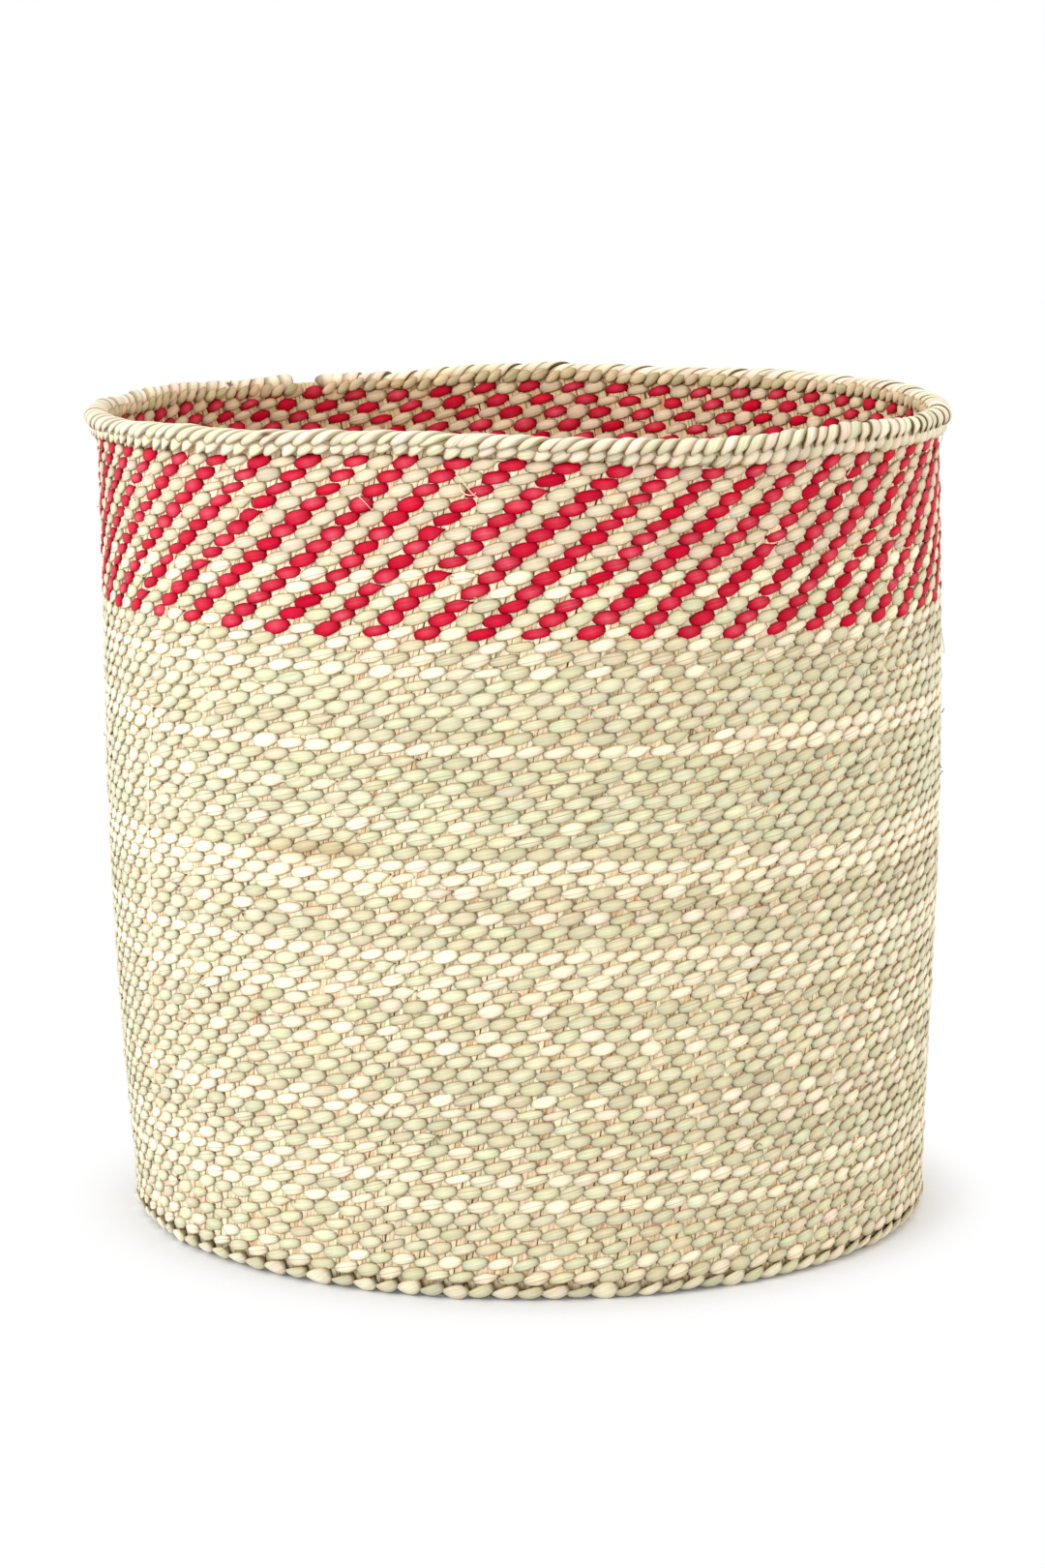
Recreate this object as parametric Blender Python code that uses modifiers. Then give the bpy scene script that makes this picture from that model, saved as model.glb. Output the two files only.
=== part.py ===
# A round twined storage basket: stakes, outside and inside weft, woven base and folded border.
# Metres, +Z up. The origin is the middle of the ring that the basket stands on.

import math

import bmesh
import bpy

# Overall size: the wall at its widest, how far the foot stays inside it and the rim stands outside it
wall_diameter = 0.3226
foot_inset = 0.0063
rope_outside_overhang = 0.0037
widest_height_share = 0.66

# Courses of weft, each one turn of twining round the wall
course_pitch = 0.0047
lower_courses = 17
middle_courses = 16
upper_courses = 16
striped_courses = 13
course_relief = 0.0018
outside_weft_skin = 0.0008
inside_weft_skin = 0.0015

# Stakes, and the sheet that they form side by side across the base
stake_count = 211
stake_thickness = 0.0017
stake_width_share = 0.52
base_sheet_thickness = 0.0017

# Base and the ridge round its edge
edge_radius = 0.0080
edge_steps = 4
foot_height = 0.0120
foot_courses = 2
foot_skin = 0.0018
standing_ring_width = 0.0080
base_weft_skin = 0.0011
base_rise = 0.0050

# Border
rope_strands = 160
rope_height = 0.0045
rope_inside_overhang = 0.0016
rope_relief = 0.0008
rope_shoulder_share = 0.62
rope_crown_share = 0.70
rope_lean_share = 1.20
strand_cover_share = 0.90
row_height = 0.0045
row_bulge = 0.0026
row_rounding = 0.0012
join_width = 0.0070
join_direction = math.radians(124)

# Clearance between neighbouring pieces, and flats round the outside, the inside and the border rows
gap = 0.0003
wall_flats = 24
inside_flats = 32
row_flats = 32
merge_distance = 0.00001

# Radii
wall_radius = wall_diameter / 2
foot_radius = wall_radius - foot_inset
rim_radius = wall_radius + rope_outside_overhang

# Heights, from the standing ring up to the rim
shelf_height = base_weft_skin + gap
sheet_bottom = shelf_height + gap
sheet_top = sheet_bottom + base_sheet_thickness
wall_bottom = foot_height + gap
middle_bottom = wall_bottom + lower_courses * course_pitch
bend_height = middle_bottom + middle_courses * course_pitch
striped_bottom = bend_height + upper_courses * course_pitch
row_bottom = striped_bottom + striped_courses * course_pitch
row_top = row_bottom + row_height
rope_bottom = row_top + gap
rim_height = rope_bottom + rope_height

# Colours of the pieces: red, green, blue
colours = {
    "stakes": (0.74, 0.58, 0.38),
    "natural": (0.66, 0.66, 0.42),
    "cream": (0.78, 0.72, 0.50),
    "crimson": (0.55, 0.02, 0.06),
    "inside": (0.52, 0.46, 0.27),
    "border": (0.76, 0.71, 0.48),
}


def across_flats(flats):
    """How far a ring of flats reaches between its corners, as a share of its corner radius."""
    return math.cos(math.pi / flats)


def outside_radius(height):
    """The weft's outside: it swells from the foot to its widest place and stays there."""
    widest_height = widest_height_share * row_bottom
    share = (height - foot_height) / (widest_height - foot_height)
    share = min(max(share, 0), 1)
    return foot_radius + (wall_radius - foot_radius) * math.sin(share * math.pi / 2)


def edge_reach(height):
    """The rounded bottom edge's radius at a height inside the rounding."""
    drop = edge_radius - height
    return foot_radius - edge_radius + math.sqrt(edge_radius ** 2 - drop ** 2)


def room_inside(corner_radius):
    """The largest round that fits, with its clearance, inside a ring of the wall's flats."""
    return corner_radius * across_flats(wall_flats) - gap


def stake_room(height):
    """The largest round that the outside weft leaves for the stakes at a height."""
    return room_inside(outside_radius(height) - course_relief - outside_weft_skin)


# The stakes' outer faces are straight from the base sheet to the bend and from there to the top.
sheet_radius = room_inside(edge_reach(shelf_height) - foot_skin)
bend_radius = stake_room(bend_height)
top_radius = stake_room(row_bottom)


def stake_radius(height):
    """The stakes' outer faces at a height."""
    if height < bend_height:
        share = (height - sheet_top) / (bend_height - sheet_top)
        return sheet_radius + max(share, 0) * (bend_radius - sheet_radius)
    share = (height - bend_height) / (row_top - bend_height)
    return bend_radius + share * (top_radius - bend_radius)


def behind_outside_weft(height, flats=wall_flats):
    """Corner radius of a ring of flats that clears the stakes' outer faces."""
    return (stake_radius(height) + gap) / across_flats(flats)


def inside_weft_back(height):
    """Corner radius of the inside weft where it faces the stakes."""
    return stake_radius(height) - stake_thickness - gap


def inside_weft_face(height):
    """Corner radius of the inside weft where it faces the hollow."""
    return inside_weft_back(height) - inside_weft_skin


def material_for(name, colour):
    """A matt plant-fibre material in one colour."""
    material = bpy.data.materials.new(name)
    material.use_nodes = True
    shader = material.node_tree.nodes["Principled BSDF"]
    shader.inputs["Base Color"].default_value = (*colours[colour], 1)
    shader.inputs["Roughness"].default_value = 0.75
    shader.inputs["Metallic"].default_value = 0
    material.diffuse_color = (*colours[colour], 1)
    return material


def add_object(name, mesh, colour, parts):
    """Link a mesh to the basket's collection as one named piece with its own material."""
    mesh.materials.append(material_for(name, colour))
    piece = bpy.data.objects.new(name, mesh)
    parts.objects.link(piece)
    return piece


def turned(name, outline, colour, parts, flats=wall_flats, closed=True):
    """A ring or disc: an outline in the XZ plane, outer side first and downwards, swept round Z."""
    mesh = bpy.data.meshes.new(name)
    corners = [(radius, 0, height) for radius, height in outline]
    edges = [(index, index + 1) for index in range(len(corners) - 1)]
    if closed:
        edges.append((len(corners) - 1, 0))
    mesh.from_pydata(corners, edges, [])
    piece = add_object(name, mesh, colour, parts)
    screw = piece.modifiers.new("turn", "SCREW")
    screw.axis = "Z"
    screw.angle = math.tau
    screw.steps = flats
    screw.render_steps = flats
    screw.use_merge_vertices = True
    screw.merge_threshold = merge_distance
    screw.use_smooth_shade = True
    return piece


def course_outline(bottom, courses):
    """The outside of a run of courses, top to bottom: a valley between courses, a crest on each."""
    outline = []
    for course in range(courses, 0, -1):
        valley = bottom + course * course_pitch
        crest = valley - course_pitch / 2
        if course == courses:
            valley = valley - gap
        outline.append((outside_radius(valley) - course_relief, valley))
        outline.append((outside_radius(crest), crest))
    outline.append((outside_radius(bottom) - course_relief, bottom))
    return outline


def add_outside_weft(name, bottom, courses, colour, parts):
    """A band of twined courses outside the stakes, ribbed course by course."""
    outline = course_outline(bottom, courses)
    top = outline[0][1]
    outline.append((behind_outside_weft(bottom), bottom))
    outline.append((behind_outside_weft(top), top))
    return turned(name, outline, colour, parts)


def add_inside_weft(name, bottom, top, colour, parts):
    """A band of twined courses inside the stakes, from one height to just under another."""
    top = top - gap
    outline = [
        (inside_weft_back(top), top),
        (inside_weft_back(bottom), bottom),
        (inside_weft_face(bottom), bottom),
        (inside_weft_face(top), top),
    ]
    return turned(name, outline, colour, parts, inside_flats)


def add_foot(parts):
    """The lowest courses and the ridge under them, with the flat ring that the basket stands on."""
    course = (foot_height - edge_radius) / foot_courses
    outline = []
    for index in range(foot_courses):
        valley = foot_height - index * course
        outline.append((foot_radius - course_relief, valley))
        outline.append((foot_radius, valley - course / 2))
    outline.append((foot_radius - course_relief, edge_radius))
    for step in range(1, edge_steps + 1):
        angle = step / edge_steps * math.pi / 2
        radius = foot_radius - edge_radius + edge_radius * math.cos(angle)
        outline.append((radius, edge_radius - edge_radius * math.sin(angle)))
    ring_inside = foot_radius - edge_radius - standing_ring_width
    outline.append((ring_inside, 0))
    outline.append((ring_inside, shelf_height))
    outline.append((behind_outside_weft(sheet_top), shelf_height))
    outline.append((behind_outside_weft(foot_height), foot_height))
    turned("edge_ridge_weft", outline, "natural", parts)
    return ring_inside


def add_base_weft(ring_inside, parts):
    """The two faces of the woven base, below and above the sheet of stakes, risen in the middle."""
    under_radius = ring_inside - gap / across_flats(wall_flats)
    under_rise = base_rise * (1 - under_radius / sheet_radius)
    centre_top = sheet_bottom + base_rise - gap
    edge_top = sheet_bottom + under_rise - gap
    outline = [
        (0, centre_top),
        (under_radius, edge_top),
        (under_radius, edge_top - base_weft_skin),
        (0, centre_top - base_weft_skin),
    ]
    turned("base_weft_under", outline, "natural", parts, closed=False)
    lift = gap + base_rise * (1 - across_flats(inside_flats))
    sheet_flat = sheet_radius - stake_thickness
    above_bottom = sheet_top + lift
    above_radius = inside_weft_face(above_bottom) - gap / across_flats(inside_flats)
    above_rise = base_rise * (1 - above_radius / sheet_flat)
    centre_bottom = above_bottom + base_rise
    edge_bottom = above_bottom + above_rise
    outline = [
        (0, centre_bottom + base_weft_skin),
        (above_radius, edge_bottom + base_weft_skin),
        (above_radius, edge_bottom),
        (0, centre_bottom),
    ]
    turned("base_weft_inside", outline, "inside", parts, inside_flats, closed=False)


def ring_point(bm, radius, angle, height):
    """A vertex at a radius, an angle round Z and a height."""
    return bm.verts.new((radius * math.cos(angle), radius * math.sin(angle), height))


def stake_section(bm, outer_radius, angle, height):
    """The three corners of a stake: two on its outer face, one inside."""
    half_width = stake_width_share * math.pi / stake_count
    inner_radius = outer_radius - stake_thickness
    return (
        ring_point(bm, outer_radius, angle - half_width, height),
        ring_point(bm, outer_radius, angle + half_width, height),
        ring_point(bm, inner_radius, angle, height),
    )


def join_sections(bm, lower, upper):
    """Three side faces between two sections of a stake."""
    for index in range(len(lower)):
        following = (index + 1) % len(lower)
        bm.faces.new((lower[index], lower[following], upper[following], upper[index]))


def add_stakes(parts):
    """All stakes as one cage: a sheet across the base, with a stake standing at each of its ribs."""
    bm = bmesh.new()
    centre_top = bm.verts.new((0, 0, sheet_top + base_rise))
    centre_bottom = bm.verts.new((0, 0, sheet_bottom + base_rise))
    feet = []
    under = []
    for index in range(stake_count):
        angle = index * math.tau / stake_count
        foot = stake_section(bm, sheet_radius, angle, sheet_top)
        feet.append(foot)
        under.append(ring_point(bm, sheet_radius, angle, sheet_bottom))
        bend = stake_section(bm, stake_radius(bend_height), angle, bend_height)
        top = stake_section(bm, stake_radius(row_top), angle, row_top)
        join_sections(bm, foot, bend)
        join_sections(bm, bend, top)
        bm.faces.new(top)
    for index in range(stake_count):
        following = (index + 1) % stake_count
        left, right, inner = feet[index]
        next_left, _, next_inner = feet[following]
        bm.faces.new((left, under[index], right))
        bm.faces.new((right, under[index], under[following], next_left))
        bm.faces.new((right, next_left, next_inner, inner))
        bm.faces.new((centre_top, inner, next_inner))
        bm.faces.new((centre_bottom, under[following], under[index]))
    mesh = bpy.data.meshes.new("stakes")
    bm.normal_update()
    bm.to_mesh(mesh)
    bm.free()
    add_object("stakes", mesh, "stakes", parts)


def add_border_rows(parts):
    """The border's second row, a rounded bead under the rope, on both sides of the stake tops."""
    top = row_top
    middle = (row_bottom + row_top) / 2
    bulge = wall_radius + row_bulge
    back_top = behind_outside_weft(top, row_flats)
    back_bottom = behind_outside_weft(row_bottom, row_flats)
    outline = [
        (back_top, top),
        (bulge - row_rounding, top),
        (bulge, middle),
        (bulge - row_rounding, row_bottom),
        (back_bottom, row_bottom),
    ]
    turned("border_row_outside", outline, "border", parts, row_flats)
    face = inside_weft_face(row_bottom)
    outline = [
        (inside_weft_back(row_top), top),
        (inside_weft_back(row_bottom), row_bottom),
        (face, row_bottom),
        (face - row_rounding, middle),
        (face, top),
    ]
    turned("border_row_inside", outline, "border", parts, row_flats)


def add_border_rope(parts):
    """The rope along the rim: one folded stake end after another, each leaning over the next.

    The rope is open at the join. Its section has a foot and a shoulder outside, a crown and a foot
    inside. Each strand's shoulder starts proud and ends tucked behind the next strand's.
    """
    inside_radius = inside_weft_face(row_top) - rope_inside_overhang
    width = rim_radius - inside_radius
    crown_radius = inside_radius + width * (1 - rope_crown_share)
    shoulder_height = rope_bottom + rope_height * rope_shoulder_share
    join_angle = join_width / rim_radius
    strand_angle = (math.tau - join_angle) / rope_strands
    start = join_direction + join_angle / 2
    lean = rope_lean_share * strand_angle
    bm = bmesh.new()
    stations = []
    for index in range(rope_strands + 1):
        angle = start + index * strand_angle
        foot = ring_point(bm, rim_radius - rope_relief, angle, rope_bottom)
        proud = ring_point(bm, rim_radius, angle + lean / 2, shoulder_height)
        crown = ring_point(bm, crown_radius, angle + lean, rim_height)
        inner = ring_point(bm, inside_radius, angle + lean, rope_bottom)
        tucked = proud
        if index > 0:
            tucked_angle = angle + lean / 2 - strand_angle * (1 - strand_cover_share)
            tucked = ring_point(bm, rim_radius - rope_relief, tucked_angle, shoulder_height)
        stations.append((foot, proud, tucked, crown, inner))
    for here, there in zip(stations, stations[1:]):
        foot, proud, _, crown, inner = here
        next_foot, next_proud, tucked, next_crown, next_inner = there
        bm.faces.new((foot, next_foot, tucked, proud))
        bm.faces.new((next_foot, next_proud, tucked))
        bm.faces.new((proud, tucked, next_crown, crown))
        bm.faces.new((tucked, next_proud, next_crown))
        bm.faces.new((crown, next_crown, next_inner, inner))
        bm.faces.new((inner, next_inner, next_foot, foot))
    foot, proud, _, crown, inner = stations[0]
    bm.faces.new((foot, proud, crown, inner))
    foot, proud, _, crown, inner = stations[-1]
    bm.faces.new((inner, crown, proud, foot))
    mesh = bpy.data.meshes.new("border_rope")
    bm.normal_update()
    bm.to_mesh(mesh)
    bm.free()
    add_object("border_rope", mesh, "border", parts)


def build_basket():
    """Clear the file and make every piece."""
    for old in list(bpy.data.objects):
        bpy.data.objects.remove(old, do_unlink=True)
    parts = bpy.data.collections.new("twined_basket")
    bpy.context.scene.collection.children.link(parts)
    ring_inside = add_foot(parts)
    add_base_weft(ring_inside, parts)
    add_stakes(parts)
    add_outside_weft("lower_weft_outside", wall_bottom, lower_courses, "natural", parts)
    add_outside_weft("middle_weft_outside", middle_bottom, middle_courses, "cream", parts)
    add_outside_weft("upper_weft_outside", bend_height, upper_courses, "natural", parts)
    add_outside_weft("striped_weft_outside", striped_bottom, striped_courses, "crimson", parts)
    add_inside_weft("lower_weft_inside", sheet_top + gap, middle_bottom, "inside", parts)
    add_inside_weft("middle_weft_inside", middle_bottom, bend_height, "inside", parts)
    add_inside_weft("upper_weft_inside", bend_height, striped_bottom, "inside", parts)
    add_inside_weft("striped_weft_inside", striped_bottom, row_bottom, "crimson", parts)
    add_border_rows(parts)
    add_border_rope(parts)


build_basket()
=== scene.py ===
import math

import bpy
import numpy as np
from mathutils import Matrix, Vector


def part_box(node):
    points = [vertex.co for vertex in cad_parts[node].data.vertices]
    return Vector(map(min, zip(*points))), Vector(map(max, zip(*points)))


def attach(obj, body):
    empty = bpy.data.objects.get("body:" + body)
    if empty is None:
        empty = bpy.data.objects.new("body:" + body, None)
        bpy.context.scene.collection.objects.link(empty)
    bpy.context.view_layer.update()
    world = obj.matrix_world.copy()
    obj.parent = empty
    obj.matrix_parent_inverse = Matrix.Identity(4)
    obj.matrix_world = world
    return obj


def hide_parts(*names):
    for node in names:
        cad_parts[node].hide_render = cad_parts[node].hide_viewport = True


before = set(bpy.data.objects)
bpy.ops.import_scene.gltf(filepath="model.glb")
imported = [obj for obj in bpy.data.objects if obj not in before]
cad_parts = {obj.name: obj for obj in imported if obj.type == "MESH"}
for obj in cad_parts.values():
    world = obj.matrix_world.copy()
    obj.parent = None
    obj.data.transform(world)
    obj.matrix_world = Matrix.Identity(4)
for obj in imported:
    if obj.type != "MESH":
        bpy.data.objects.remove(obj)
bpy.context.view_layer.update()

# Places read from the frame
foot_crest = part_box("edge_ridge_weft")[1].x
foot_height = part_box("edge_ridge_weft")[1].z
wall_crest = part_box("striped_weft_outside")[1].x
row_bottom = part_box("border_row_outside")[0].z
row_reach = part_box("border_row_outside")[1].x
rim_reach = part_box("border_rope")[1].x
rim_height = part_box("border_rope")[1].z

# Outline of the wall and the bottom edge
widest_height = 0.66 * row_bottom
edge_radius = 0.0080
base_rise = 0.0050

# Weave: stakes and courses of the wall, how a strand runs between them, and its section.
# A period is four stakes: over two and under two
stake_count = 211
course_count = 62
striped_count = 13
striped_pitch = 0.00487
striped_first = row_bottom - (striped_count - 0.5) * striped_pitch + 0.0007
natural_count = course_count - striped_count
course_heights = ((-1, 0.0035), (0, 0.0089), (4.5, 0.0330), (22, 0.1180), (natural_count, striped_first))
swing = 0.00165
strand_half_thickness = 0.00060
mid_depth = swing + strand_half_thickness
stitch_rise = 0.00125
inside_lift = 0.0028
lift_reach = 0.045
lift_power = 0.12
half_width_mid = 0.00226
half_width_end = 0.00092
striped_end_gain = 1.20
end_lean = 0.00006
enter_power = 0.30
leave_power = 0.17
width_power = 0.75
thin_end = 0.8
stake_period = 4
stitch_overlap = 0.09
end_slant = 0.36
outside_places = (0.0, 0.028, 0.075, 0.16, 0.31, 0.5, 0.70, 0.86, 0.95)
inside_places = (0.0, 0.06, 0.24, 0.5, 0.76, 0.94)
section_sides = 8
section_powers = (0.9, 0.8)
band_parts = 3
stake_parts = 4
base_parts = 3
shortest_run = 10
longest_run = 34
middle_first = 18
upper_first = 34

# How much stitches differ in reach, width, rise, height and roll, whole strands and rings in width
reach_spread = 0.08
width_spread = 0.11
rise_spread = 0.16
height_spread = 0.00014
roll_spread = 0.10
strand_width_spread = 0.05
ring_spread = 0.03

# The tail of a strand that ends: how far out it stays and how much thinner it gets
tail_reach = 0.9
tail_thinning = 0.75

# Base: a spiral from the centre, with more stakes in each zone outwards, and the ridge round the edge
base_first_radius = 0.0053
base_pitch = 0.0047
base_overlap = -0.0012
base_zones = ((0.013, 13), (0.026, 27), (0.052, 55), (0.100, 107), (1.0, 211))
ridge_turn = math.radians(52)
ridge_stakes = 212
ridge_girth = 1.42

# Stakes of the base: where they begin and end, how wide they are and how they vary
base_stem_inset = 0.003
base_stem_tuck = 0.004
base_stem_reach = 0.8
base_stem_sides = 6
base_stem_rings = 5
base_stem_pitch = 0.012
base_stem_widest = 0.0045
base_stem_share_start = 0.42
base_stem_share_end = 0.52
base_stem_half_thickness = 0.0010
base_stem_angle_spread = 0.004
base_stem_height_spread = 0.0001
base_stem_tone_spread = 0.08

# The cross in the middle of the base: stems on each side of the middle one, and their sizes
cross_stems = 2
cross_pitch = 0.0026
cross_layer = 0.0018
cross_half_length = 0.0085
cross_half_width = 0.0012
cross_half_thickness = 0.0009
cross_steps = 7

# Stakes of the wall: two or three flat stems each
stem_counts = (2, 3)
stem_count_shares = (0.4, 0.6)
stake_width = 0.0051
stem_spots = 12
stem_spot_length = (0.003, 0.014)
stem_overlap = 1.05
stem_half_thickness = 0.00105
stem_bottom = 0.004
stem_top_gap = 0.0025
stem_steps = 52
stem_sides = 10
stem_powers = (0.2, 0.35)
stem_aside_spread = 0.0001
stem_sway_spread = 0.00006
stem_depth_spread = 0.0002
stem_width_spread = 0.06
stem_tone_spread = 0.07
stem_edge_shadow = 0.6
stem_spot_power = 1.5
least_spotted = 0.3

# Dry ends that poke out at some of the splices: ranges are least and most, or middle and spread
curl_share = 0.45
curl_ahead = (0.004, 0.003)
curl_above = (-0.001, 0.0012)
curl_steps = 9
curl_turns = (3, 6)
curl_sizes = (0.0008, 0.0015)
curl_closing = 0.4
curl_lift = 0.0006
curl_reaches = (0.0012, 0.0026)
curl_half_widths = (0.00022, 0.00045)
curl_half_thickness = 0.00014
curl_taper = 0.6
curl_length = 0.004
curl_brown_share = 0.6
curl_tone_spread = 0.3
curl_pale_shade = 0.9

# The midrib that shows as a thin line on some strands
rib_share = 0.11
rib_reach = 0.0008
rib_half_width = 0.00030
rib_tint = (0.74, 0.55, 0.46)

# Border: folded strands round the rim, and the ends that show under them on both sides
rope_strands = 160
rope_outside_end = math.radians(-24)
rope_inside_end = math.radians(200)
rope_middle_radius = rim_reach - 0.0037
rope_half_reach = 0.0041
rope_middle_height = rim_height - 0.0034
rope_half_height = 0.0031
rope_swell = 0.00025
rope_inner_depth = 0.00125
rope_crown = 0.00065
rope_tilt = 0.00035
rope_cut = 0.30
rope_skew = 1.95 / math.pi
rope_swirl = 0.16
rope_tip = 0.32
rope_body = 0.34
rope_round = 0.15
rope_bend_power = 0.55
rope_outside_spread = 0.08
rope_inside_spread = 0.10
rope_skew_spread = 0.12
rope_width_spread = 0.10
rope_lift_spread = 0.00030
rope_length = 0.014
rope_half_width = 0.0045
core_inset = 0.0009
core_steps = 400
core_powers = (1.0, 1.0)
core_brown = (0.40, 0.32, 0.18)
rope_steps = 24
rope_across = (-1.0, -0.93, -0.84, -0.6, -0.3, 0.0, 0.3, 0.55, 0.8, 1.0)
join_inset = 0.20
join_calm = 3
join_skew = 0.25
border_spread = 0.05
border_shares = (0.68, 0.22, 0.10)
border_tone_spread = 0.06

# Tones of a rope strand: tan inside, painted shade at its edges and ends, a painted shade line at its
# raised edge and a painted shadow where the next one covers it, each with its strength, where it starts and
# how it fades
rope_tan = (0.6, 0.2)
rope_shadow = 0.8
rope_line = (0.95, 0.8, 0.15)
rope_cover = (0.7, 0.1, 0.45)

# Rows under the rope: half length of a strand, its slant, half width and the height of its middle.
# The edge is the strength of the shadow along it and a power: the higher, the narrower
row_outside = (0.0042, math.radians(31), 0.00262, row_bottom + 0.0037)
row_depth = 0.0026
row_outward = 0.22
row_inside = (0.0036, math.radians(24), 0.00190, row_bottom + 0.0052)
row_crown = 0.0021
row_power = 0.5
row_inside_depth = 0.0014
row_inside_crown = 0.0013
row_inside_power = 0.6
row_half_thickness = 0.0008
row_end_width = 0.35
row_width_power = 0.7
row_steps = 9
row_length = 0.004
row_slant_spread = 0.10
row_length_spread = 0.06
row_height_spread = 0.00025
row_width_spread = 0.08
row_edge = (0.90, 6)
row_tip_shadow = 0.95
row_tip_power = 0.3
row_inside_tints = ((0.78, 0.70, 0.56), (0.92, 0.80, 0.68))

# Ends that show between the strands of the outside row, under the rope
tuck_half_length = 0.0017
tuck_half_width = 0.0012
tuck_tilt = math.radians(62)
tuck_height = row_bottom + 0.0046
tuck_depth = 0.0026
tuck_crown = 0.0008
tuck_half_thickness = 0.0007
tuck_steps = 7
tuck_place_spread = 0.1
tuck_slant_spread = 0.15
tuck_height_spread = 0.0002
tuck_shade = 0.92
tuck_edge = (0.70, 4)
tuck_tip_shadow = 0.6

# The spiral climbs one course inside this share of each turn, next to the border's join
climb_share = 0.08
last_climb = 0.6
join_direction = math.radians(125.4)
join_width = 0.0115
lean_at_foot = 0.12
lean_at_rim = 0.21

# How the whole basket stands: it leans to the left, and its rim waves (direction in degrees, rise)
lean_at_top = 0.0047
wave_reach = 0.050
rim_waves = (
    (-150, -0.0017), (-125, -0.0005), (-102, 0.0017), (-92, 0.0010), (-77, -0.0013), (-60, -0.0020),
    (-40, -0.0007), (0, -0.0008), (25, 0.0008), (49, 0.0012), (66, 0.0004), (85, 0.0008),
    (98, 0.0004), (110, -0.0024), (127, -0.0020), (147, -0.0016), (160, -0.0028), (210, -0.0017),
)
# How far the stakes stand from even places and the courses from level ones, by degrees from the front
stake_drift = (
    (-90, 0.0), (-60, -0.009), (-47, 0.003), (-36, 0.014), (-27, 0.027), (-19, 0.016), (-10, 0.005),
    (0, 0.0), (13, -0.009), (22, -0.028), (31, -0.044), (40, -0.058), (51, -0.075), (67, -0.085),
    (180, -0.03),
)
course_drops = (
    (-90, -0.0010), (-60, -0.0011), (-45, -0.0005), (-20, 0.0), (10, 0.0), (25, -0.0010), (40, -0.0019),
    (60, -0.0017), (90, -0.0010), (180, 0.0),
)
course_tilt = 0.0007
# Small sways of the courses and of the wall: waves in a turn, height of one radian and start
course_sway = 0.00022
course_waves = ((5, 0.017, 0), (11, -0.011, 1))
wall_sway = 0.00045
wall_waves = ((2, 0.09, 0), (3, -0.05, 0))

# Round the wall the stakes stand wider apart at the front, most of all at one height
front_spread = 0.030
more_spread = 0.055
spread_height = 0.195
spread_reach = 0.050

# The camera, at the photo's place
camera_place = (-0.0028, -1.644, 0.451)
camera_tilt = math.radians(9.94)
camera_lens = 98.4
sensor_size = 36.0
photo_width = 1080
photo_height = 1620
camera_range = 100

# Colours as they look in even light: red, green, blue
palettes = {
    "sage": (0.685, 0.665, 0.455),
    "olive": (0.64, 0.595, 0.39),
    "cream": (0.87, 0.81, 0.61),
    "blush": (0.83, 0.745, 0.56),
    "beige": (0.71, 0.61, 0.45),
    "crimson": (0.53, 0.001, 0.025),
}
palette_shares = {"sage": 0.50, "olive": 0.22, "cream": 0.20, "blush": 0.08}
plain_shares = {"sage": 0.48, "olive": 0.42, "cream": 0.06, "blush": 0.04}
khaki = (1.05, 0.94, 0.89)
# Tint of the painted shade at the ends, edges and gaps of strands; the pale curls take it as their own
# colour
crevice = (0.50, 0.36, 0.14)
inside_stem = (0.88, 0.79, 0.68)
stem_cream = (0.86, 0.79, 0.57)
stem_pink = (0.90, 0.74, 0.50)
stem_brown = (0.72, 0.38, 0.17)
curl_brown = (0.20, 0.10, 0.045)
border_colours = ((0.84, 0.76, 0.58), (0.76, 0.73, 0.50), (0.84, 0.71, 0.53))
# Tint of the painted shade line along the raised edge of each rope strand
border_line = (0.26, 0.17, 0.08)

# Finish of the grass, its streaks along, across and from strand to strand, and their relief
grass_finishes = {
    "natural_grass": {"Roughness": 0.48, "Specular IOR Level": 0.40, "Sheen Weight": 0.35},
    "striped_grass": {"Roughness": 0.45, "Specular IOR Level": 0.05, "Sheen Weight": 0.0},
    "stem_grass": {"Roughness": 0.55, "Specular IOR Level": 0.30, "Sheen Weight": 0.15},
    "border_grass": {"Roughness": 0.48, "Specular IOR Level": 0.40, "Sheen Weight": 0.15},
}
sheen_roughness = 0.4
streak_scale = (95, 3000, 400)
streak_range = {"From Min": 0.3, "From Max": 0.7, "To Min": 0.80, "To Max": 1.10}
bump_strength = 0.35
bump_distance = 0.0002

# Light: strength of the even light, and each lamp's name, place, size, power and colour
world_light = 0.64
lamps = (
    ("key", (-1.8, -1.9, 1.3), 1.6, 50, (0.97, 0.985, 1.0)),
    ("fill", (2.2, -1.4, 0.9), 1.8, 17, (1.0, 0.87, 0.68)),
    ("top", (0.1, 0.3, 2.6), 2.0, 30, (1.0, 0.99, 0.98)),
    ("left edge", (-2.2, 0.8, 0.5), 1.2, 17, (0.84, 0.93, 1.0)),
    ("right edge", (2.2, 0.8, 0.5), 1.2, 11, (1.0, 0.97, 0.93)),
)

# Floor: its colour, and how its glow for the camera grows with the distance from the middle
floor_size = 40
floor_colour = (0.78, 0.78, 0.80)
floor_roughness = 0.9
glow_range = {"From Min": 0.146, "From Max": 0.185, "To Min": 0.05, "To Max": 1.0}

# Courses that the photo shows pale or plain, and the natural strand of each striped course from below
pale_courses = (5, 24, 30, 31, 40)
plain_first = 42
striped_naturals = ("cream", "sage", "sage", "cream", "cream") + ("beige",) * 8
striped_kinds = ("crimson", "beige")

# Marks: pixel of the photo, half width and half height in pixels, tint and strength
photo_pixel = 0.00034
mark_reach = 1.5
wall_search = (1000, 600)
rope_search = (4001, 37)
marks = (
    (326, 879, 62, 10, (0.62, 0.40, 0.18), 0.45),
)
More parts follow.
